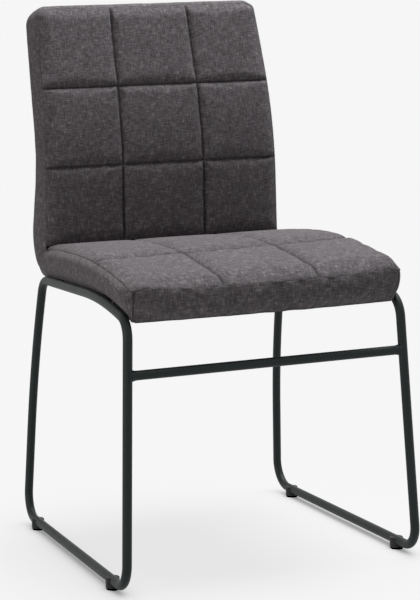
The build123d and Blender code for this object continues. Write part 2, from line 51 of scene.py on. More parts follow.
print("pieces in the frame:", len(nodes))

# %% [markdown]
# The camera stands where the photographer stood: low, a little to the chair's left, and far back.
# Its place and turns were worked out from the legs, which are straight, parallel and mirrored.
# A long lens keeps those lines almost parallel, so the distance matters as much as the angle.

# %% Place the camera
FRAME_HEIGHT_PIXELS = 600
FOCAL_PIXELS = 1736.93
SENSOR = 36.0
CAMERA_PLACE = Vector((-0.97725, -2.55557, 0.71363))
YAW = math.radians(21.1286)
PITCH = math.radians(6.7838)
ROLL = math.radians(-2.1590)

bpy.ops.object.select_all(action="DESELECT")
bpy.ops.object.camera_add()
camera = bpy.context.object
camera.data.sensor_width = SENSOR
camera.data.lens = FOCAL_PIXELS * SENSOR / FRAME_HEIGHT_PIXELS
camera.data.dof.use_dof = False
aim = Matrix.Rotation(-YAW, 4, "Z") @ Matrix.Rotation(math.pi / 2 - PITCH, 4, "X")
camera.matrix_world = Matrix.Translation(CAMERA_PLACE) @ aim @ Matrix.Rotation(ROLL, 4, "Z")
bpy.context.scene.camera = camera
print("lens in mm:", round(camera.data.lens, 1))

# %% [markdown]
# Shader maths reads best as plain formulas, so a small class stands for one output of a node.
# Adding, subtracting, multiplying and dividing such outputs adds the Math nodes by itself.
# Every other node comes from one method, which takes the node's type, its settings and its inputs.


# %% Write shaders as formulas
class Output:
    """One output of a node, which takes part in formulas."""

    def __init__(self, finish, socket):
        self.finish = finish
        self.socket = socket

    def maths(self, operation, *values):
        return self.finish.node("ShaderNodeMath", {"operation": operation}, dict(enumerate(values)))

    def __add__(self, other):
        return self.maths("ADD", self, other)

    __radd__ = __add__

    def __sub__(self, other):
        return self.maths("SUBTRACT", self, other)

    def __rsub__(self, other):
        return self.maths("SUBTRACT", other, self)

    def __mul__(self, other):
        return self.maths("MULTIPLY", self, other)

    __rmul__ = __mul__

    def __truediv__(self, other):
        return self.maths("DIVIDE", self, other)

    def __rtruediv__(self, other):
        return self.maths("DIVIDE", other, self)

    def whole(self):
        return self.maths("FLOOR", self)

    def part(self):
        return self.maths("FRACT", self)

    def wave(self):
        return self.maths("SINE", self)

    def odd(self):
        return self.maths("FLOORED_MODULO", self, 2.0)

    def larger(self, other):
        return self.maths("MAXIMUM", self, other)


class Finish:
    """The nodes of a material or of the world, added one by one."""

    def __init__(self, owner):
        owner.use_nodes = True
        self.owner = owner
        self.tree = owner.node_tree
        self.tree.nodes.clear()

    def node(self, kind, settings=None, inputs=None, out=0):
        node = self.tree.nodes.new(kind)
        for key, value in (settings or {}).items():
            if key == "stops":
                self.set_stops(node.color_ramp, value)
            else:
                setattr(node, key, value)
        for key, value in (inputs or {}).items():
            if isinstance(value, Output):
                self.tree.links.new(value.socket, node.inputs[key])
            else:
                node.inputs[key].default_value = value
        return Output(self, node.outputs[out]) if node.outputs else node

    def set_stops(self, ramp, stops):
        while len(ramp.elements) < len(stops):
            ramp.elements.new(1.0)
        for element, (place, colour) in zip(ramp.elements, stops):
            element.position = place
            element.color = colour

    def place(self):
        return self.node("ShaderNodeTexCoord", out="Object")

    def stretch(self, vector, scale):
        return self.node("ShaderNodeMapping", None, {"Vector": vector, "Scale": scale})

    def noise(self, vector, scale, detail=2.0, roughness=0.5):
        inputs = {"Vector": vector, "Scale": scale, "Detail": detail, "Roughness": roughness}
        return self.node("ShaderNodeTexNoise", None, inputs)

    def blend(self, share, first, second):
        inputs = {"Factor": share, 6: first, 7: second}
        return self.node("ShaderNodeMix", {"data_type": "RGBA"}, inputs, out=2)

    def bump(self, height, depth, strength=1.0):
        inputs = {"Height": height, "Distance": depth, "Strength": strength}
        return self.node("ShaderNodeBump", None, inputs)

    def surface(self, inputs):
        shader = self.node("ShaderNodeBsdfPrincipled", None, inputs)
        self.node("ShaderNodeOutputMaterial", None, {"Surface": shader})
        return self.owner


def paint(name):
    """A new material without nodes."""
    return Finish(bpy.data.materials.new(name))


def rgb(red, green, blue):
    """A colour, as the linear light that it sends back."""
    return (red, green, blue, 1.0)


def grey(level):
    """A colour without a hue."""
    return rgb(level, level, level)


print("shader helpers are ready")

# %% [markdown]
# The floor and the world behind it share one pale tone, as a paper sweep in a studio does.
# Where the camera looks, the floor is that tone, less the chair's soft shadow. Close beside the runners
# and glides a contact shadow is painted into the floor's glow, as dark as the share of the sky that they
# hide.
# Away from the chair the shadow part fades out, so no line shows where the floor ends.
# A large soft lamp hangs high above the chair, a little to the right, and a weak one fills in from the left.

# %% Lay the floor and light the studio
BACKDROP = 0.922
FLOOR_SIZE = 30.0
FLOOR_BOUNCE = 0.55
SHADOW_SHARE = 0.16
SHADOW_NEAR = 0.15
SHADOW_FAR = 0.6
CONTACT_REACH = 0.05
CONTACT_SHADOW_DEPTH = 2.0
SKY_LIGHT = 0.08
KEY_PLACE = (0.9, 0.16, 3.4)
KEY_TARGET = (0.0, 0.0, 0.45)
KEY_SIZE = 1.8
KEY_POWER = 125.0
LEFT_PLACE = (-2.4, -0.8, 0.9)
LEFT_TARGET = (0.0, 0.0, 0.5)
LEFT_SIZE = 1.4
LEFT_POWER = 14.0


def seen_directly(finish):
    """One where a ray comes from the camera, a mirror or clear glass, and nought for other rays."""
    path = "ShaderNodeLightPath"
    camera_ray = finish.node(path, out="Is Camera Ray")
    glossy_ray = finish.node(path, out="Is Glossy Ray")
    through_ray = finish.node(path, out="Is Transmission Ray")
    return camera_ray.larger(glossy_ray).larger(through_ray)


def floor_paper():
    """The paper's tone less the chair's shadow where it is seen, partly lit and partly painted, and a duller
    paper for other rays.
    """
    finish = paint("floor_paper")
    place = finish.place()
    distance = finish.node("ShaderNodeVectorMath", {"operation": "LENGTH"}, {0: place}, out="Value")
    inputs = {"Value": distance, "From Min": SHADOW_NEAR, "From Max": SHADOW_FAR}
    inputs |= {"To Min": 1.0, "To Max": 0.0}
    near = finish.node("ShaderNodeMapRange", {"interpolation_type": "SMOOTHSTEP"}, inputs)
    # Painted contact shadow: the glow's colour darkens where the runners and glides hide the sky.
    hidden = 1.0 - finish.node("ShaderNodeAmbientOcclusion", None, {"Distance": CONTACT_REACH}, out="AO")
    tone = BACKDROP * (1.0 - CONTACT_SHADOW_DEPTH * hidden * hidden)
    glow = finish.node("ShaderNodeEmission", None, {"Color": tone})
    matte = finish.node("ShaderNodeBsdfDiffuse", None, {"Color": grey(BACKDROP)})
    bounce = finish.node("ShaderNodeBsdfDiffuse", None, {"Color": grey(FLOOR_BOUNCE)})
    shown = finish.node("ShaderNodeMixShader", None, {0: near * SHADOW_SHARE, 1: glow, 2: matte})
    paper = finish.node("ShaderNodeMixShader", None, {0: seen_directly(finish), 1: bounce, 2: shown})
    finish.node("ShaderNodeOutputMaterial", None, {"Surface": paper})
    return finish.owner


def studio_sky():
    """A weak light from all round, and the paper's tone where the world is seen."""
    finish = Finish(bpy.data.worlds.new("studio_sky"))
    strength = SKY_LIGHT + seen_directly(finish) * (1.0 - SKY_LIGHT)
    glow = finish.node("ShaderNodeBackground", None, {"Color": grey(BACKDROP), "Strength": strength})
    finish.node("ShaderNodeOutputWorld", None, {"Surface": glow})
    bpy.context.scene.world = finish.owner


def soft_box(name, place, target, size, power, tint):
    """A square lamp with a cloth front, aimed at a point."""
    bpy.ops.object.light_add(type="AREA", location=place)
    lamp = bpy.context.object
    lamp.name = name
    lamp.data.size = size
    lamp.data.energy = power
    lamp.data.color = tint
    lamp.rotation_euler = (Vector(target) - Vector(place)).to_track_quat("-Z", "Y").to_euler()


bpy.ops.mesh.primitive_plane_add(size=FLOOR_SIZE)
floor = bpy.context.object
floor.name = "floor"
floor.data.materials.append(floor_paper())
studio_sky()
soft_box("key_box", KEY_PLACE, KEY_TARGET, KEY_SIZE, KEY_POWER, (1.0, 1.0, 1.0))
soft_box("left_box", LEFT_PLACE, LEFT_TARGET, LEFT_SIZE, LEFT_POWER, (1.0, 0.93, 0.90))
bpy.context.scene.view_settings.view_transform = "Standard"
print("lamps:", [lamp.name for lamp in bpy.data.objects if lamp.type == "LIGHT"])

# %% [markdown]
# A pattern cutter draws the chair from the side first: where the seat's top seam runs, where the back's
# front seam runs, and where the cloth turns round the shell under and behind them.
# Each is a line of straight runs and arcs that meet without a corner, so a few lengths and turns say it all.

# %% Draw the sewn lines in the side view
SEAT_DEPTH = 445.0 * MM
SEAT_FLAT = 155.0 * MM
SEAT_FALL_R = 1235.0 * MM
CREASE_Z = 475.0 * MM
BACK_LEAN_IN = 4.5
BACK_LOW_RUN = 90.0 * MM
BACK_ARC_R = 560.0 * MM
BACK_ARC_TURN = 19.0
BACK_HIGH_RUN = 116.5 * MM
SHELL_DROP = 12.6
SHELL_DROP_R = 858.0 * MM
SHELL_BEND_R = 60.0 * MM
SHELL_BEND = 110.0
SHELL_LOW_RUN = 58.0 * MM
SHELL_LUMBAR_R = 170.0 * MM
SHELL_LUMBAR_TURN = 36.0
BEND_BEHIND = 1.75 * MM
FRONT_TUCK = 10.0 * MM
STRAIGHT = 1e-9


class SewnLine:
    """A line in the side view: its start, its heading in degrees, and runs of (length, turn in degrees)."""

    def __init__(self, start, heading, runs):
        self.start = Vector(start)
        self.heading = heading
        self.runs = runs
        self.length = sum(length for length, turn in runs)

    def at(self, distance, lift=0.0):
        """Place at a distance along the line, moved by lift to its left."""
        place = self.start.copy()
        heading = math.radians(self.heading)
        left = distance
        for length, turn in self.runs:
            step = min(left, length)
            bend = math.radians(turn) * step / length
            chord = step * math.sin(bend / 2) / (bend / 2) if abs(bend) > STRAIGHT else step
            place += chord * Vector((math.cos(heading + bend / 2), math.sin(heading + bend / 2)))
            heading += bend
            left -= step
            if left <= 0:
                break
        return place + lift * Vector((-math.sin(heading), math.cos(heading)))


def arc(radius, turn):
    """A run round an arc."""
    return radius * math.radians(abs(turn)), turn


front_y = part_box("seat_cover")[0].y
crease = Vector((front_y + SEAT_DEPTH, CREASE_Z))
seat_fall = math.degrees(math.asin((SEAT_DEPTH - SEAT_FLAT) / SEAT_FALL_R))
seat_front = Vector((front_y, CREASE_Z - SEAT_FALL_R * (1 - math.cos(math.radians(seat_fall)))))
seat_line = SewnLine(seat_front, seat_fall, [arc(SEAT_FALL_R, -seat_fall), (SEAT_FLAT, 0)])
back_runs = [(BACK_LOW_RUN, 0), arc(BACK_ARC_R, -BACK_ARC_TURN), (BACK_HIGH_RUN, 0)]
back_line = SewnLine(crease, 90 + BACK_LEAN_IN, back_runs)
back_top = back_line.at(back_line.length)
top_heading = math.radians(90 + BACK_LEAN_IN - BACK_ARC_TURN)
top_way = Vector((math.cos(top_heading), math.sin(top_heading)))

shell_front = Vector((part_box("underside_cover")[0].y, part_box("plywood_shell")[0].z))
front_low = Vector((front_y + FRONT_TUCK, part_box("front_boxing")[0].z))
drop_y = shell_front.x + SHELL_DROP_R * math.sin(math.radians(SHELL_DROP))
heel_y = crease.x + BEND_BEHIND
shell_runs = [arc(SHELL_DROP_R, -SHELL_DROP), (heel_y - drop_y, 0), arc(SHELL_BEND_R, SHELL_BEND)]
shell_runs += [(SHELL_LOW_RUN, 0), arc(SHELL_LUMBAR_R, -SHELL_LUMBAR_TURN)]
lumbar = SewnLine(shell_front, SHELL_DROP, shell_runs)
rise = (back_top - lumbar.at(lumbar.length)).dot(top_way)
shell_line = SewnLine(shell_front, SHELL_DROP, shell_runs + [(rise, 0)])
heel_at = shell_runs[0][0] + shell_runs[1][0]
waist_at = heel_at + shell_runs[2][0] / 2
print("seat seam", round(seat_line.length / MM), "mm, back seam", round(back_line.length / MM), "mm")
print("top of the back at", [round(side / MM, 1) for side in back_top])

# %% [markdown]
# The body is not quite square: the seat widens a little to the front. The back narrows to its top, whose
# two corners are rounded, and its sides bow out halfway up. Behind the shell a thin pad lifts the rear cloth
# off the plywood. Hand-sewn covers never sit dead straight, so the front of the seat stands a little to the
# right, and the top of the back slants by nearly three millimetres from its middle to either side.

# %% Give the body its width
CREASE_HALF = 206.0 * MM
SEAT_FLARE = 8.5 * MM
SEAT_SHIFT = 3.5 * MM
HEM_HALF = 206.5 * MM
BACK_NARROW = 15.0 * MM
BACK_BARREL = 3.2 * MM
CORNER_R = 11.0 * MM
FRONT_BOW = 9.0 * MM
SEAT_CORNER_R = 6.5 * MM
COLUMN_HALF = 72.0 * MM
REAR_PAD = 6.6 * MM
PAD_TAPER = 40.0 * MM
TOP_SKEW = 2.8 * MM
EDGE = 0.6 * MM


def smooth_step(value):
    """Nought to one with soft ends."""
    value = min(max(value, 0.0), 1.0)
    return value * value * (3 - 2 * value)


def climb_share(height):
    """Nought at the crease, one at the top of the back."""
    return min(max((height - CREASE_Z) / (back_top.y - CREASE_Z), 0.0), 1.0)


def half_width(place):
    """Half the back's width at a place in the side view."""
    share = climb_share(place.y)
    return CREASE_HALF - BACK_NARROW * share + BACK_BARREL * 4 * share**1.5 * (1 - share)


def corner_cut(distance, radius):
    """How far a rounded corner stands in from the side, at a distance from the end."""
    left = min(max(0.0, radius - distance), radius)
    return radius - math.sqrt(radius**2 - left**2)


def outer_share(across):
    """Nought up to the quilt's column seams, one at the sides, with the side's sign."""
    return math.copysign(max(0.0, (abs(across) - COLUMN_HALF) / (CREASE_HALF - COLUMN_HALF)), across)


def widen(across, place, below_top):
    """Place across the back, for cloth that is flat at the crease's width."""
    return across * half_width(place) / CREASE_HALF - outer_share(across) * corner_cut(below_top, CORNER_R)


def front_bow(across):
    """How far the seat's front edge stands back from its middle, at a place across."""
    return FRONT_BOW * (across / CREASE_HALF) ** 2


def seat_across(across, place):
    """Place across the seat, which flares to its front and is a little fuller on the right."""
    ahead = (crease.x - place.x) / SEAT_DEPTH
    cut = corner_cut(place.x - front_y - front_bow(across) - EDGE, SEAT_CORNER_R)
    flared = across * (1 + SEAT_FLARE * ahead / CREASE_HALF)
    return flared + SEAT_SHIFT * ahead - outer_share(across) ** 3 * cut


def settle(across, place):
    """A point in space from its place across and in the side view, with the top's small lean."""
    skew = TOP_SKEW * across / CREASE_HALF * climb_share(place.y) ** 2
    return Vector((across, place.x, place.y + skew))


def shell_skin(distance, lift=0.0):
    """Place on the cloth under or behind the shell, at a distance along it."""
    pad = REAR_PAD * smooth_step((distance - heel_at) / PAD_TAPER)
    return shell_line.at(distance, -pad - lift)


widths = [round(2 * half_width(place) / MM, 1) for place in (crease, back_top)]
print("width of the back at the crease and the top in mm:", widths)

# %% [markdown]
# A sewn panel is laid out as a grid whose lines crowd together beside each seam, because that is where
# cloth bends most. Each spot knows how far the nearest seam is, and how near it is to a pillow's middle.

# %% Lay out the grid of a panel
# Depth of the groove between the back's pillows, and the width of the painted seam shade on most pads.
GROOVE_AND_SEAM_SHADE = 1.2 * MM
ON_SEAM = 1e-6
FEWEST_CELLS = 4
Spot = namedtuple("Spot", "at near middle")


def spread(stops, step, gather=0.55):
    """Spots through all the stops, closer together beside each of them."""
    spots = []
    for low, high in zip(stops, stops[1:]):
        count = max(FEWEST_CELLS, round((high - low) / step))
        for index in range(count + 1):
            if index == count and high != stops[-1]:
                continue
            share = index / count
            share -= gather * math.sin(2 * math.pi * share) / (2 * math.pi)
            near = min(share, 1 - share) * (high - low)
            spots.append(Spot(low + share * (high - low), near, 4 * share * (1 - share)))
    return spots


def from_ends(spot, spots):
    """How far a spot is from the nearer end of its row."""
    return min(spot.at - spots[0].at, spots[-1].at - spot.at)


def drawn_in(value, spots, depth):
    """The same value on a span that is shorter by depth at both ends."""
    low, high = spots[0].at, spots[-1].at
    return low + depth + (value - low) * (high - low - 2 * depth) / (high - low)


print("grid lines over 100 mm:", len(spread([0.0, 100 * MM], 6 * MM)))

# %% [markdown]
# The panel becomes a closed pad: the formed face, a plain back face, and an edge cut as a mitre,
# so that two pads that meet at a seam share it without cutting into each other.
# The mesh keeps two things for later: each spot's flat place in the cloth, which the weave follows, and how
# much painted seam shade, a darkening drawn into the colour along each seam, lies on it. The edge is creased,
# so that rounding the pad off doesn't draw it back.

# %% Sew a closed pad


def only(piece):
    """Make one piece the selected and active one."""
    bpy.ops.object.select_all(action="DESELECT")
    piece.select_set(True)
    bpy.context.view_layer.objects.active = piece


def apply_modifier(piece, kind, settings):
    """Add a modifier to a piece, set it and apply it."""
    only(piece)
    bpy.ops.object.modifier_add(type=kind)
    modifier = piece.modifiers[-1]
    for key, value in settings.items():
        setattr(modifier, key, value)
    bpy.ops.object.modifier_apply(modifier=modifier.name)


def pad_faces(columns, rows):
    """The faces of a pad's front, back and edge, and the corners round its front."""
    count = columns * rows
    faces = []
    for row in range(rows - 1):
        for column in range(columns - 1):
            first = row * columns + column
            face = [first, first + 1, first + 1 + columns, first + columns]
            faces.append(face)
            faces.append([corner + count for corner in reversed(face)])
    rim = list(range(columns))
    rim += [row * columns + columns - 1 for row in range(1, rows)]
    rim += [count - 2 - column for column in range(columns - 1)]
    rim += [row * columns for row in range(rows - 2, 0, -1)]
    for first, second in zip(rim, rim[1:] + rim[:1]):
        faces.append([second, first, first + count, second + count])
    return faces, set(rim)


def painted_seam_shades(across, along, width, border, row_spread):
    """The painted seam shade on every spot: one on a seam, border on the pad's edge, nought far from both."""
    shades = []
    for v in along:
        for u in across:
            to_edge = min(from_ends(u, across), from_ends(v, along))
            deepest = 1.0 if to_edge - min(u.near, v.near) > ON_SEAM else border
            away = min(u.near, v.near / row_spread) / width
            shades.append(deepest * math.exp(-(away**2)))
    return shades


def keep(mesh, name, kind, domain, values):
    """Keep values on the mesh, as an attribute with a name."""
    field = "vector" if kind == "FLOAT_VECTOR" else "value"
    mesh.attributes.new(name, kind, domain).data.foreach_set(field, values)


def cloth_places(across, along):
    """The flat place of every spot in the cloth, as one long row of numbers."""
    return [value for v in along for u in across for value in (u.at, v.at, 0.0)]


def sew_pad(name, grid, place, lift, depth, width, border, row_spread=1.0):
    """A closed pad on a grid: place() puts a spot in space, and lift() says how far the face stands out."""
    across, along = grid
    spots = [(u, v) for v in along for u in across]
    count = len(spots)
    corners = [place(u.at, v.at, lift(u, v)) for u, v in spots]
    for u, v in spots:
        corners.append(place(drawn_in(u.at, across, depth), drawn_in(v.at, along, depth), -depth))
    faces, rim = pad_faces(len(across), len(along))
    mesh = bpy.data.meshes.new(name)
    mesh.from_pydata(corners, [], faces)
    keep(mesh, "cloth", "FLOAT_VECTOR", "POINT", cloth_places(across, along) * 2)
    # Painted seam shade: width, border and row_spread set how far and how dark it reaches beside each seam.
    shades = painted_seam_shades(across, along, width, border, row_spread)
    keep(mesh, "seam", "FLOAT", "POINT", shades + [0.0] * count)
    creased = [1.0 if rim.issuperset(edge.vertices) else 0.0 for edge in mesh.edges]
    keep(mesh, "crease_edge", "FLOAT", "EDGE", creased)
    piece = bpy.data.objects.new(name, mesh)
    bpy.context.scene.collection.objects.link(piece)
    held = [index for index, (u, v) in enumerate(spots) if min(u.near, v.near) < ON_SEAM]
    piece.vertex_groups.new(name="sewn").add(held + list(range(count, 2 * count)), 1.0, "REPLACE")
    only(piece)
    bpy.ops.object.mode_set(mode="EDIT")
    bpy.ops.mesh.select_all(action="SELECT")
    bpy.ops.mesh.normals_make_consistent(inside=False)
    bpy.ops.object.mode_set(mode="OBJECT")
    return piece


print("faces of the smallest pad:", len(pad_faces(2, 2)[0]))

# %% [markdown]
# Foam pushes the cloth out wherever no seam holds it. A cloth simulation with pressure and no gravity does
# the same: the seams, the border and the back face stay pinned, and no point moves further than a set limit.

# %% Let the foam swell the cloth
FOAM_PRESSURE = 4.0
CLOTH_FRAMES = 20


def swell(piece, slack, cap):
    """Let the foam push the cloth out between its seams, by no more than cap."""
    before = [vertex.co.copy() for vertex in piece.data.vertices]
    only(piece)
    bpy.ops.object.modifier_add(type="CLOTH")
    cloth = piece.modifiers[-1]
    cloth.settings.vertex_group_mass = "sewn"
    cloth.settings.use_pressure = True
    cloth.settings.uniform_pressure_force = FOAM_PRESSURE
    cloth.settings.shrink_min = -slack
    cloth.settings.effector_weights.gravity = 0.0
    cloth.collision_settings.use_collision = False
    for number in range(1, CLOTH_FRAMES + 1):
        bpy.context.scene.frame_set(number)
    bpy.ops.object.modifier_apply(modifier=cloth.name)
    bpy.context.scene.frame_set(1)
    furthest = 0.0
    for vertex, old in zip(piece.data.vertices, before):
        move = vertex.co - old
        furthest = max(furthest, move.length)
        if move.length > cap:
            vertex.co = old + move * (cap / move.length)
    print(piece.name, "moved at most", round(furthest / MM, 1), "mm, kept to", round(cap / MM, 1))


def finish_pad(piece, fill, *replaced):
    """Round the pad off, hide the parts of the frame that it stands for, and hang it on the root."""
    piece.vertex_groups.clear()
    apply_modifier(piece, "SUBSURF", {"levels": 1, "render_levels": 1})
    only(piece)
    bpy.ops.object.shade_smooth()
    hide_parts(*replaced)
    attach(piece, "root")
    print(piece.name, "has", len(piece.data.polygons), "faces")


print("frames of the cloth simulation:", CLOTH_FRAMES)

# %% [markdown]
# The seat is a crowned cushion: it rises from its border seams, steeply at the sides, and its quilting seams
# are narrow creases in that crown. At the front it bows out a little between its corners, and the seam there
# lifts before it dips into each corner. At the rear the side seams are pulled down into the crease.

# %% Shape the seat's face
SEAT_CROWN = 10.3 * MM
SEAT_LOP = 3.6 * MM
SEAT_PUFF = 1.2 * MM
SIDE_R = 12.0 * MM
SIDE_TIGHTER = 0.5
FRONT_R = 32.0 * MM
REAR_R = 115.0 * MM
REAR_LOP = 170.0 * MM
SIDE_DIP = 6.0 * MM
DIP_REACH = 60.0 * MM
CREASE_DEPTH = 4.5 * MM
CREASE_REACH = 2.8 * MM
CREASE_FADE = 170.0 * MM
ROW_SPREAD = 2.2
EAR = 3.5 * MM
EAR_FROM = 0.6
EAR_SPAN = 0.25
EAR_END = 0.88
EAR_DIP = 1.25
EAR_REACH = 60.0 * MM
SEAT_REAR_ROW = 278.0 * MM
PUCKER = 0.4 * MM
PUCKER_PITCH = 11.0 * MM
PUCKER_REACH = 9.0 * MM
seat_row = seat_line.length - SEAT_REAR_ROW


def rounded(distance, radius):
    """Nought on a seam, one past a rounded edge."""
    return 1 - (1 - min(max(distance, 0.0) / radius, 1.0)) ** 2


def puckers(u, v, seed):
    """Small waves of the cloth beside a seam."""
    spot = Vector((u.at / PUCKER_PITCH, v.at / PUCKER_PITCH, seed))
    return PUCKER * noise.noise(spot) * math.exp(-min(u.near, v.near) / PUCKER_REACH)


def side_dip(distance):
    """How far the side seam is pulled down on its last stretch to the crease."""
    return SIDE_DIP * smooth_step(1 - (seat_line.length - distance) / DIP_REACH)


def front_ear(u):
    """How far the front seam lifts on its way to the corner, before it dips."""
    share = abs(u) / CREASE_HALF
    lifted = smooth_step((share - EAR_FROM) / EAR_SPAN)
    return EAR * lifted * (1 - EAR_DIP * smooth_step((share - EAR_END) / (1 - EAR_END)))


def behind_front(u, v):
    """Distance along the seat's line, which starts further back beside the corners."""
    return v + front_bow(u) * (1 - v / seat_line.length)


def seat_lift(u, v):
    """How far the seat's face stands above its sewn line."""
    share = u.at / CREASE_HALF
    side = rounded(CREASE_HALF - EDGE - abs(u.at), SIDE_R * (1 - SIDE_TIGHTER * v.at / seat_line.length))
    rear_r = REAR_R + REAR_LOP * (1 + share) / 2
    ends = rounded(v.at - EDGE, FRONT_R) * rounded(seat_line.length - EDGE - v.at, rear_r)
    crown = (SEAT_CROWN + SEAT_LOP * share) * side * ends
    to_seam = min(abs(abs(u.at) - COLUMN_HALF), abs(v.at - seat_row) / ROW_SPREAD)
    fade = rounded(seat_line.length - v.at, CREASE_FADE)
    crease_in = CREASE_DEPTH * math.exp(-to_seam / CREASE_REACH) * side * fade
    rise = crown - crease_in + SEAT_PUFF * u.middle * v.middle + puckers(u, v, seed=3.0) * side
    rise = max(rise, -EDGE) if side * ends > 0 else -EDGE
    return rise - side_dip(behind_front(u.at, v.at)) * (1 - side)


def on_seat(u, v, lift):
    """Place of a spot of the seat's cloth."""
    near_front = max(0.0, 1 - v / EAR_REACH) ** 2
    distance = behind_front(u, v)
    place = seat_line.at(distance, lift + front_ear(u) * near_front)
    return settle(seat_across(u, seat_line.at(distance)), place)


print("seam across the seat, from its front edge in mm:", round(seat_row / MM))

# %% [markdown]
# Three columns of two pillows are sewn as one quilt. The seam across the seat is seen almost edge on, so its
# crease and its painted shade are spread wider than those of the seams that run away from the viewer.

# %% Quilt the seat
COVER_DEPTH = 4.0 * MM
QUILT_STEP = 5.0 * MM
SEAT_SEAM_SHADE_WIDTH = 2.4 * MM
quilt_columns = spread([-CREASE_HALF + EDGE, -COLUMN_HALF, COLUMN_HALF, CREASE_HALF - EDGE], QUILT_STEP)
seat_rows = spread([EDGE, seat_row, seat_line.length - EDGE], QUILT_STEP)
seat_grid = quilt_columns, seat_rows
# Painted seam shade on the seat, wider than on the other pads, stands in for the shadow in its creases.
seat_seam_shade = {"width": SEAT_SEAM_SHADE_WIDTH, "border": 0.6, "row_spread": ROW_SPREAD}
seat_quilt = sew_pad("seat_quilt", seat_grid, on_seat, seat_lift, COVER_DEPTH, **seat_seam_shade)
swell(seat_quilt, slack=0.01, cap=2 * MM)
finish_pad(seat_quilt, 0.85, "seat_cover", "seat_foam")

# %% [markdown]
# The back has three columns of three pillows. Straight seams pull the cloth down into thinner foam, so here
# every pillow rises on its own: steeply beside its seams, and almost flat in the middle.

# %% Quilt the back
BACK_PUFF = 5.6 * MM
BACK_DOME = 1.0 * MM
PILLOW_R = 7.0 * MM
PILLOW_WANDER = 0.4
WANDER_PITCH = 32.0 * MM
BORDER_R = 16.0 * MM
BACK_ROW = 129.0 * MM


def back_lift(u, v):
    """How far the back's face stands off its sewn line."""
    to_column = abs(abs(u.at) - COLUMN_HALF)
    to_row = min(abs(v.at - BACK_ROW), abs(v.at - 2 * BACK_ROW))
    to_side = CREASE_HALF - EDGE - abs(u.at)
    to_end = min(v.at - EDGE, back_line.length - EDGE - v.at)
    wander = noise.noise(Vector((u.at / WANDER_PITCH, v.at / WANDER_PITCH, 7.0)))
    radius = PILLOW_R * (1 + PILLOW_WANDER * wander)
    pillow = rounded(to_column, radius) * rounded(to_row, radius)
    border = rounded(to_side, BORDER_R) * rounded(to_end, BORDER_R)
    puffed = BACK_PUFF * pillow - GROOVE_AND_SEAM_SHADE * (1 - pillow) + BACK_DOME * u.middle * v.middle
    return (puffed + puckers(u, v, seed=5.0)) * border - EDGE * (1 - border)


def on_back(u, v, lift):
    """Place of a spot of the back's cloth."""
    line = back_line.at(v)
    return settle(widen(u, line, back_line.length - v), back_line.at(v, lift))


back_rows = spread([EDGE, BACK_ROW, 2 * BACK_ROW, back_line.length - EDGE], QUILT_STEP)
back_grid = quilt_columns, back_rows
# Painted seam shade along the back's seams, faint on its border.
back_quilt = sew_pad("back_quilt", back_grid, on_back, back_lift, COVER_DEPTH, width=GROOVE_AND_SEAM_SHADE, border=0.2)
swell(back_quilt, slack=0.01, cap=1 * MM)
finish_pad(back_quilt, 0.85, "back_cover", "back_foam")

# %% [markdown]
# One strip of cloth, the boxing, closes the sides: up from the seat's front corner, round the bend, up the
# back, over its top and down the other side. Its front edge follows the quilts' seams. Its other edge is
# turned in under the seat, just inside the rail, and meets the rear panel behind the back.
# At the bend that edge is the longer one, so the grid fans out there.

# %% Follow the edges of the side boxing
BOXING_LAP = 4.5 * MM
FRONT_LAP = 5.0 * MM
LAP_REACH = 110.0 * MM
HEM_EASE = 70.0 * MM
FAN = 120.0 * MM
seat_run = seat_line.length - FRONT_BOW
corner_low = front_low + Vector((FRONT_BOW, 0.0))
lead = (shell_front - corner_low).length
side_climb = back_line.length - CORNER_R


def lapped(distance):
    """Place on the boxing's outer edge, which laps over the shell's edge as far as the bend."""
    lap = BOXING_LAP + FRONT_LAP * max(0.0, 1 - distance / LAP_REACH) ** 2
    return shell_skin(distance, lap * (1 - smooth_step((distance - heel_at) / HEM_EASE)))


def lower_edge(distance):
    """Place on the boxing's outer edge, from the seat's lower front corner to the bend."""
    if distance < lead:
        return corner_low.lerp(lapped(0.0), distance / lead)
    return lapped(distance - lead)


def fan_out(share, span, total, spare):
    """A distance that grows evenly, and takes up the spare length near the end of the span."""
    late = max(0.0, 1 - (1 - share) * span / FAN)
    return share * (total - spare) + spare * late**2


def seat_band(distance, side):
    """The strip's two edges and its outward way, beside the seat."""
    ear = front_ear(CREASE_HALF) * max(0.0, 1 - distance / EAR_REACH) ** 2
    line = seat_line.at(FRONT_BOW + distance)
    rise = ear - side_dip(FRONT_BOW + distance)
    front = settle(seat_across(side * CREASE_HALF, line), seat_line.at(FRONT_BOW + distance, rise))
    rear = lower_edge(fan_out(distance / seat_run, seat_run, lead + waist_at, waist_at - heel_at))
    return front, settle(side * HEM_HALF, rear), Vector((side, 0, 0))


def back_band(climb, side):
    """The strip's two edges and its outward way, beside and over the back."""
    turn = min(max(0.0, (climb - side_climb) / CORNER_R), math.pi / 2)
    over = max(0.0, climb - side_climb - CORNER_R * math.pi / 2) + CORNER_R * (1 - math.cos(turn))
    height = min(climb, side_climb) + CORNER_R * math.sin(turn)
    front = back_line.at(height) - Vector((0.0, SIDE_DIP * max(0.0, 1 - height / DIP_REACH) ** 2))
    total = shell_line.length - waist_at
    down = fan_out(1 - height / back_line.length, back_line.length, total, waist_at - heel_at)
    rear = lapped(shell_line.length - down)
    out = Vector((side * math.cos(turn), math.sin(turn) * top_way.x, math.sin(turn) * top_way.y))
    front_point = settle(side * (half_width(front) - over), front)
    return front_point, settle(side * (half_width(rear) - over), rear), out


half_band = seat_run + side_climb + CORNER_R * math.pi / 2 + half_width(back_top) - CORNER_R
print("length of the side boxing in mm:", round(2 * half_band / MM))

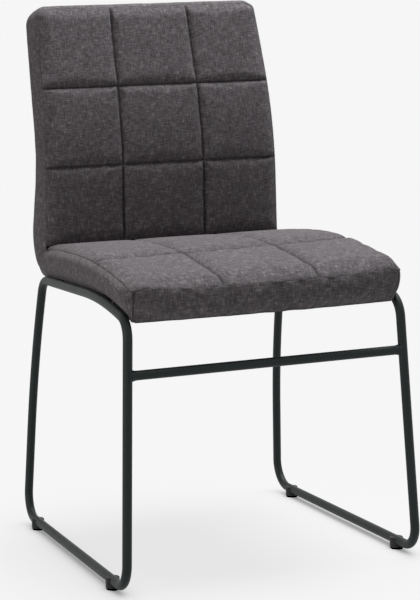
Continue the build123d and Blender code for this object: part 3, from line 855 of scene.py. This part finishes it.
# %% [markdown]
# Between its edges the strip swells over the foam. Beside the seat it fills out just above the rail and then
# rises almost straight, beside the back it is rounder, and over the top it is fullest.
# Near the front corners the swelling fades, so that the corner seam is a soft line and not a deep groove.

# %% Sew the side boxing
BOXING_DEPTH = 3.0 * MM
BOXING_SWELL = 7.5 * MM
TOP_SWELL = 10.0 * MM
BOXING_R = 13.0 * MM
BACK_EASE = 45.0 * MM
CORNER_EASE = 45.0 * MM
RAIL_CLEAR = 6.0 * MM
BOXING_FOOT = 0.06
BOXING_FILL = 4
BAND_WIDTH = 48.0 * MM
BAND_STEP = 4.5 * MM
BOXING_STEP = 6.5 * MM
WRINKLE = 0.7 * MM
WRINKLE_PITCH = 24.0 * MM


def filled_out(share):
    """Nought on the lower edge and just above it, then quickly one: how the boxing widens upwards."""
    return 1 - (1 - max(0.0, share - BOXING_FOOT) / (1 - BOXING_FOOT)) ** BOXING_FILL


def on_band(u, v, lift):
    """Place of a spot of the strip: u runs from its front edge to the other, v along it."""
    side = 1 if v < half_band else -1
    distance = min(v, 2 * half_band - v)
    beside_seat = distance < seat_run
    front, rear, out = seat_band(distance, side) if beside_seat else back_band(distance - seat_run, side)
    point = front.lerp(rear, u / BAND_WIDTH) + out * lift
    if beside_seat:
        share = 1 - u / BAND_WIDTH
        point.x += (front.x - rear.x) * (filled_out(share) - share)
    return point


def wrinkles(u, v, seed):
    """Shallow waves all over a strip of cloth that isn't stretched tight."""
    return WRINKLE * noise.noise(Vector((u.at / WRINKLE_PITCH, v.at / WRINKLE_PITCH, seed)))


def boxing_lift(u, v):
    """How far the strip stands out from the plain band between its edges."""
    distance = min(v.at, 2 * half_band - v.at)
    beside_back = smooth_step((distance - seat_run + DIP_REACH) / (2 * DIP_REACH))
    over_top = smooth_step((distance - half_band + half_width(back_top)) / CORNER_R)
    front_r = BOXING_R + (BACK_EASE - BOXING_R) * beside_back * (1 - over_top)
    to_rail = BAND_WIDTH - u.at - RAIL_CLEAR * (1 - beside_back)
    share = rounded(u.at - EDGE, front_r) * rounded(to_rail, BOXING_R) * rounded(v.near, CORNER_EASE)
    height = BOXING_SWELL + (TOP_SWELL - BOXING_SWELL) * over_top
    uneven = puckers(u, v, seed=11.0) + wrinkles(u, v, seed=2.0)
    return height * share - EDGE * (1 - share) + uneven * share


band_columns = spread([EDGE, BAND_WIDTH], BAND_STEP)
band_rows = spread([EDGE, 2 * half_band - EDGE], BOXING_STEP, gather=0.0)
band_grid = band_columns, band_rows
# Painted seam shade along the side boxing's edges.
band_seam_shade = {"width": GROOVE_AND_SEAM_SHADE, "border": 0.25}
side_boxing = sew_pad("side_boxing_cloth", band_grid, on_band, boxing_lift, BOXING_DEPTH, **band_seam_shade)
finish_pad(side_boxing, 0.7, "side_boxing")

# %% [markdown]
# The front boxing is a short strip between the two front corners. It leans back towards its lower edge
# and swells, because the seat's foam wraps the shell's front edge behind it.

# %% Sew the front boxing
FRONT_SWELL = 6.0 * MM
FRONT_FLAT = 0.5
FRONT_STEP = 4.0 * MM
EDGE_WAVE = 0.9 * MM
front_height = (seat_front - front_low).length


def front_edge(u):
    """Place on the front boxing's lower edge, which waves a little."""
    wave = EDGE_WAVE * noise.noise(Vector((u / WRINKLE_PITCH, 0.0, 9.0)))
    return front_low + Vector((front_bow(u), wave * (1 - (u / CREASE_HALF) ** 2)))


def on_front(u, v, lift):
    """Place of a spot of the front strip: u runs across, v up from the lower edge."""
    top = seat_line.at(front_bow(u), front_ear(u))
    low = front_edge(u)
    way = (top - low).normalized()
    share = v / front_height
    place = low.lerp(top, share) + Vector((-way.y, way.x)) * lift
    low_across = u * HEM_HALF / CREASE_HALF
    across = low_across + filled_out(share) * (seat_across(u, top) - low_across)
    return Vector((across, place.x, place.y))


def front_lift(u, v):
    """How far the front strip stands out from the plain band between its edges."""
    share = rounded(u.near, CORNER_EASE) * rounded(v.near, BOXING_R)
    swollen = FRONT_SWELL * share * (FRONT_FLAT + (1 - FRONT_FLAT) * v.middle)
    uneven = puckers(u, v, seed=17.0) + wrinkles(u, v, seed=8.0)
    return swollen - EDGE * (1 - share) + uneven * share


front_columns = spread([-CREASE_HALF + EDGE, CREASE_HALF - EDGE], BOXING_STEP, gather=0.3)
front_rows = spread([EDGE, front_height - EDGE], FRONT_STEP)
front_grid = front_columns, front_rows
# Painted seam shade along the front boxing's edges.
front_seam_shade = {"width": GROOVE_AND_SEAM_SHADE, "border": 0.4}
front_boxing = sew_pad("front_boxing_cloth", front_grid, on_front, front_lift, BOXING_DEPTH, **front_seam_shade)
swell(front_boxing, slack=0.02, cap=3 * MM)
finish_pad(front_boxing, 0.75, "front_boxing")

# %% [markdown]
# The rear of the back is one plain panel, pulled tight over a thin pad from under the bend up to the top
# seam. Under the bend there is no pad, so the panel lies just clear of the plywood.

# %% Stretch the rear panel
REAR_SWELL = 4.0 * MM
REAR_FLAT = 0.6
REAR_STEP = 8.0 * MM
REAR_DEPTH = 1.6 * MM
REAR_LAP = 10.0 * MM
OFF_SHELL = 2.6 * MM


def on_rear(u, v, lift):
    """Place of a spot of the rear panel: u runs across, v along the shell."""
    line = shell_skin(v)
    off_shell = OFF_SHELL * (1 - smooth_step((v - heel_at) / PAD_TAPER))
    return settle(widen(u, line, shell_line.length - v), shell_skin(v, lift + off_shell))


def rear_lift(u, v):
    """How far the rear panel swells."""
    share = rounded(u.near, BOXING_R) * rounded(v.near, BOXING_R)
    swollen = REAR_SWELL * share * (REAR_FLAT + (1 - REAR_FLAT) * u.middle)
    uneven = puckers(u, v, seed=23.0) + wrinkles(u, v, seed=14.0)
    return swollen - EDGE * (1 - share) + uneven * share


rear_columns = spread([-CREASE_HALF + EDGE, CREASE_HALF - EDGE], REAR_STEP, gather=0.7)
rear_rows = spread([heel_at - REAR_LAP, shell_line.length - EDGE], REAR_STEP, gather=0.5)
rear_grid = rear_columns, rear_rows
# Painted seam shade along the rear panel's edges.
rear_panel = sew_pad("rear_panel", rear_grid, on_rear, rear_lift, REAR_DEPTH, width=GROOVE_AND_SEAM_SHADE, border=0.25)
finish_pad(rear_panel, 0.6, "rear_cover", "rear_padding")

# %% [markdown]
# Under the seat, a black dust cloth is stretched over the plywood. It is a thin sheet between the plywood and
# the cross bars, with four openings, which the bars cover, where the bolts go up into the plywood.
# A sheet is simpler than a pad: one layer of cells, given a thickness by a modifier.

# %% Stretch the dust cloth
DUST_INSET = 9.0 * MM
DUST_LIFT = 0.75 * MM
DUST_T = 0.35 * MM
DUST_STEP = 9.0 * MM
DUST_GAP = 3.0 * MM
BOLT_X = 120.0 * MM
BOLTS_AT = (100.0 * MM, 335.0 * MM)
OPENING = 5.0 * MM


def lay_sheet(name, across, along, place, thickness, left_out=None):
    """A thin sheet on a grid, without the cells whose middle left_out() names."""
    corners = [place(u.at, v.at) for v in along for u in across]
    width = len(across)
    faces = []
    for row in range(len(along) - 1):
        for column in range(width - 1):
            first = row * width + column
            u = (across[column].at + across[column + 1].at) / 2
            v = (along[row].at + along[row + 1].at) / 2
            if left_out is None or not left_out(u, v):
                faces.append([first, first + 1, first + 1 + width, first + width])
    mesh = bpy.data.meshes.new(name)
    mesh.from_pydata(corners, [], faces)
    keep(mesh, "cloth", "FLOAT_VECTOR", "POINT", cloth_places(across, along))
    keep(mesh, "seam", "FLOAT", "POINT", [0.0] * len(corners))
    piece = bpy.data.objects.new(name, mesh)
    bpy.context.scene.collection.objects.link(piece)
    apply_modifier(piece, "SOLIDIFY", {"thickness": thickness, "offset": 0.0})
    only(piece)
    bpy.ops.object.shade_smooth()
    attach(piece, "root")
    return piece


def under_seat(across, place):
    """A point in space from its place across and in the side view."""
    return Vector((across, place.x, place.y))


def on_dust(u, v):
    """Place of a spot of the dust cloth."""
    return under_seat(u, shell_skin(v, DUST_LIFT))


def at_bolt(u, v):
    """Whether a spot of the dust cloth lies in one of the bolts' openings."""
    return abs(abs(u) - BOLT_X) < OPENING and min(abs(v - spot) for spot in BOLTS_AT) < OPENING


dust_half = CREASE_HALF - DUST_INSET
dust_end = heel_at - REAR_LAP - DUST_GAP
bolt_sides = [side * BOLT_X + edge for side in (-1, 1) for edge in (-OPENING, OPENING)]
bolt_ends = [spot + edge for spot in BOLTS_AT for edge in (-OPENING, OPENING)]
dust_columns = spread([-dust_half, *bolt_sides, dust_half], DUST_STEP, gather=0.0)
dust_rows = spread([DUST_INSET, *bolt_ends, dust_end], DUST_STEP, gather=0.0)
dust_sheet = lay_sheet("dust_cloth", dust_columns, dust_rows, on_dust, DUST_T, at_bolt)
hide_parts("underside_cover")
dust_size = 2 * dust_half, dust_end - DUST_INSET
dust_area = dust_size[0] * dust_size[1] - 2 * len(BOLTS_AT) * (2 * OPENING) ** 2
print("dust cloth in mm:", [round(side / MM) for side in dust_size])

# %% [markdown]
# The boxing doesn't end at its lower edge: its hem is turned in between the plywood and the dust cloth.
# The two side hems lie flat against the plywood. The front hem first reaches back from the front boxing's
# lower edge to the plywood's front edge, so the cushion is closed from below.

# %% Turn in the hems
HEM_WIDTH = 20.0 * MM
HEM_LIFT = 0.3 * MM
HEM_T = 0.3 * MM
HEM_DROP = 1.1 * MM
HEM_STEP = 4.0 * MM
HEM_GAP = 2.0 * MM
FRONT_HEM_ON = 14.0 * MM
FRONT_HEM_INSET = 1.0 * MM
HEM_BEHIND = Vector((0.8, -0.2)) * MM


def side_hem(side):
    """The turned-in edge of the side boxing on one side."""
    outer = CREASE_HALF - BOXING_DEPTH

    def place(u, v):
        drop = HEM_DROP * smooth_step(1 - u / DUST_INSET)
        return under_seat(side * (outer - u), shell_skin(v, HEM_LIFT + drop))

    name = "right_hem" if side > 0 else "left_hem"
    start = FRONT_HEM_ON + HEM_GAP
    across = spread([0.0, HEM_WIDTH], HEM_STEP, gather=0.0)
    along = spread([start, dust_end], DUST_STEP, gather=0.0)
    hem = lay_sheet(name, across, along, place, HEM_T)
    dust_end - start
    return hem


def front_hem():
    """The turned-in edge of the front boxing."""
    half = CREASE_HALF - BOXING_DEPTH - FRONT_HEM_INSET
    on_shell = shell_skin(0.0, HEM_LIFT)
    reach = (on_shell - front_low - HEM_BEHIND).length

    def place(u, v):
        if v > reach:
            return under_seat(u, shell_skin(v - reach, HEM_LIFT))
        return under_seat(u, (front_edge(u) + HEM_BEHIND).lerp(on_shell, v / reach))

    across = spread([-half, half], DUST_STEP, gather=0.0)
    along = spread([0.0, reach, reach + FRONT_HEM_ON], HEM_STEP, gather=0.0)
    hem = lay_sheet("front_hem", across, along, place, HEM_T)
    2 * half
    return hem


hems = [side_hem(-1), side_hem(1), front_hem()]
print("hems:", [hem.name for hem in hems])

# %% [markdown]
# The cloth is a plain weave of mixed yarns: charcoal with paler and browner threads, thick and thin.
# Each yarn is a strip of the cloth's own grid, so its number picks its tone, and a noise stretched along
# the strip makes the slubs. Where the two yarn directions cross, they take turns on top.

# %% Weave the upholstery
YARN = 1.6 * MM
SLUB = 10.0 * MM
FIBRE = 0.4 * MM
YARN_APART = 7.31
WEAVE_DEPTH = 0.4 * MM


def melange():
    """A weave whose tone comes from its yarns, with painted shade along the seams."""
    finish = paint("melange_weave")
    cloth = finish.node("ShaderNodeAttribute", {"attribute_name": "cloth"}, out="Vector")
    # The painted seam shade that the pads keep on their mesh.
    seam = finish.node("ShaderNodeAttribute", {"attribute_name": "seam"}, out="Fac")
    u = finish.node("ShaderNodeSeparateXYZ", None, {0: cloth}, out="X")
    v = finish.node("ShaderNodeSeparateXYZ", None, {0: cloth}, out="Y")
    warp = u / YARN
    weft = v / YARN
    on_top = (warp.whole() + weft.whole()).odd()

    def slubs(number, run, seed):
        """Thick and thin, pale and dark along one yarn, which its number sets apart from the next."""
        inputs = {0: number * YARN_APART + seed, 1: run / SLUB, 2: seed}
        return finish.noise(finish.node("ShaderNodeCombineXYZ", None, inputs), 1.0, 0.6)

    warp_tone = slubs(warp.whole(), v, 3.0)
    weft_tone = slubs(weft.whole(), u, 47.0)
    mixed = (warp_tone + weft_tone) * 0.5 + (on_top - 0.5) * (warp_tone - weft_tone) * 0.4
    cloud = finish.noise(cloth, 60.0, 3.0, 0.6)
    tone = mixed + (cloud - 0.5) * 0.18
    stops = [
        (0.30, rgb(0.072, 0.068, 0.074)),
        (0.46, rgb(0.122, 0.116, 0.125)),
        (0.57, rgb(0.162, 0.153, 0.164)),
        (0.72, rgb(0.290, 0.276, 0.286)),
    ]
    shade = finish.node("ShaderNodeValToRGB", {"stops": stops}, {"Fac": tone})
    tint = finish.noise(cloth, 45.0, 2.0)
    multiply = {"data_type": "RGBA", "blend_type": "MULTIPLY"}
    brown = {"Factor": tint, 6: shade, 7: rgb(1.0, 0.93, 0.93)}
    warm = finish.node("ShaderNodeMix", multiply, brown, out=2)
    # Painted shade: the colour is darkened towards near black along the seams, standing in for the shadow in
    # their creases.
    colour = finish.blend(seam * 0.7, warm, rgb(0.016, 0.015, 0.016))
    round_warp = (warp.part() * math.pi).wave()
    round_weft = (weft.part() * math.pi).wave()
    fibre = finish.noise(cloth, 1 / FIBRE, 2.0)
    height = round_warp * round_weft * 0.6 + mixed * 0.6 + fibre * 0.25
    normal = finish.bump(height, WEAVE_DEPTH, 0.7)
    inputs = {"Base Color": colour, "Roughness": 0.92, "Normal": normal}
    inputs |= {"Sheen Weight": 0.12, "Sheen Roughness": 0.5, "Specular IOR Level": 0.2}
    return finish.surface(inputs)


weave = melange()
woven = [seat_quilt, back_quilt, side_boxing, front_boxing, rear_panel, *hems]
for piece in woven:
    piece.data.materials.append(weave)
print("woven pieces:", len(woven))

# %% [markdown]
# The tube frame has a satin black powder coat: a very fine orange-peel skin with soft highlights.
# The feet are moulded black plastic, a little greyer. The bolts, nuts and washers are zinc-plated, the shell
# is birch plywood, and the dust cloth is a black fleece of pressed fibres.

# %% Coat the frame, the feet and the fasteners


def powder_coat():
    """Satin black with an orange-peel skin."""
    finish = paint("black_powder_coat")
    place = finish.place()
    peel = finish.noise(place, 900.0, 3.0)
    patch = finish.noise(place, 14.0, 3.0)
    colour = finish.blend(patch, rgb(0.0082, 0.0098, 0.0098), rgb(0.0118, 0.0140, 0.0138))
    inputs = {"Base Color": colour, "Roughness": 0.44 + patch * 0.12}
    inputs |= {"Normal": finish.bump(peel, 0.05 * MM, 0.5), "Specular IOR Level": 0.3}
    inputs |= {"Specular Tint": rgb(0.86, 1.0, 0.99)}
    return finish.surface(inputs)


def moulded_plastic():
    """Black plastic with a fine moulded grain."""
    finish = paint("black_moulded_plastic")
    place = finish.place()
    grain = finish.noise(place, 1400.0, 2.0)
    patch = finish.noise(place, 60.0, 2.0)
    colour = finish.blend(patch, rgb(0.010, 0.010, 0.011), rgb(0.016, 0.016, 0.017))
    inputs = {"Base Color": colour, "Roughness": 0.42 + grain * 0.15}
    inputs |= {"Normal": finish.bump(grain, 0.06 * MM, 0.6), "Specular IOR Level": 0.3}
    return finish.surface(inputs)


def zinc_plate():
    """Pale metal with a faint spangle."""
    finish = paint("zinc_plate")
    place = finish.place()
    spangle = finish.noise(place, 420.0, 3.0)
    colour = finish.blend(spangle, rgb(0.48, 0.49, 0.50), rgb(0.66, 0.66, 0.65))
    inputs = {"Base Color": colour, "Metallic": 1.0, "Roughness": 0.28 + spangle * 0.2}
    inputs |= {"Normal": finish.bump(spangle, 0.03 * MM, 0.5)}
    return finish.surface(inputs)


def birch_ply():
    """Warm pale wood, its grain running along the shell."""
    finish = paint("birch_plywood")
    place = finish.place()
    grain = finish.noise(finish.stretch(place, (9.0, 1.0, 9.0)), 30.0, 5.0, 0.6)
    colour = finish.blend(grain, rgb(0.36, 0.22, 0.11), rgb(0.62, 0.44, 0.26))
    inputs = {"Base Color": colour, "Roughness": 0.55 + grain * 0.2}
    inputs |= {"Normal": finish.bump(grain, 0.15 * MM, 0.5)}
    return finish.surface(inputs)


def fleece():
    """Black fibres pressed into a thin cloth."""
    finish = paint("black_dust_cloth")
    place = finish.place()
    fibre = finish.noise(finish.stretch(place, (1.0, 2.5, 1.0)), 700.0, 4.0, 0.7)
    colour = finish.blend(fibre, rgb(0.008, 0.008, 0.009), rgb(0.03, 0.03, 0.032))
    inputs = {"Base Color": colour, "Roughness": 0.9, "Normal": finish.bump(fibre, 0.1 * MM, 0.8)}
    return finish.surface(inputs)


def coat(material, *names):
    """Give one finish to pieces of the frame."""
    for name in names:
        nodes[name].data.materials.clear()
        nodes[name].data.materials.append(material)
    print(material.name, "on", len(names), "pieces")


tubes = ["left_side_frame", "right_side_frame", "front_stretcher"]
coat(powder_coat(), *tubes, "front_cross_bar", "rear_cross_bar", "weld_beads")
coat(moulded_plastic(), "front_left_glide", "front_right_glide", "rear_left_glide", "rear_right_glide")
coat(zinc_plate(), "seat_bolts", "washers", "spring_washers", "tee_nuts")
coat(birch_ply(), "plywood_shell")
dust_sheet.data.materials.append(fleece())
